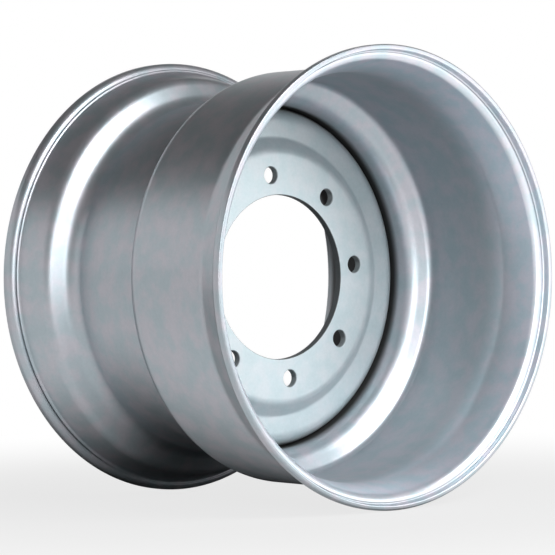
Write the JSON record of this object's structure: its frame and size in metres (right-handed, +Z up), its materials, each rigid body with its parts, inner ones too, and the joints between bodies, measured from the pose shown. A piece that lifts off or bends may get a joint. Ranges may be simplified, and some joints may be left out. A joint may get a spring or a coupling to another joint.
{
  "type": "truck wheel",
  "caption": "Wide steel disc wheel with a drop-centre rim, rolled flanges and a pressed disc that bolts to a hub, for a tubeless tyre.",
  "frame": {"origin": "wheel centre: on the axle line, midway between the two flange faces", "axes": "+Y along the axle towards the inboard side, +Z up, +X across; the outboard side faces -Y"},
  "size_m": [0.5968, 0.4404, 0.5968],
  "materials": {
    "rim_paint": "satin silver paint on rolled steel",
    "disc_paint": "satin silver paint on pressed steel",
    "weld_paint": "silver paint over a rippled weld"
  },
  "bodies": {
    "root": {"rim": "rim_paint", "disc": "disc_paint", "weld_bead": "weld_paint"}
  },
  "joints": []
}
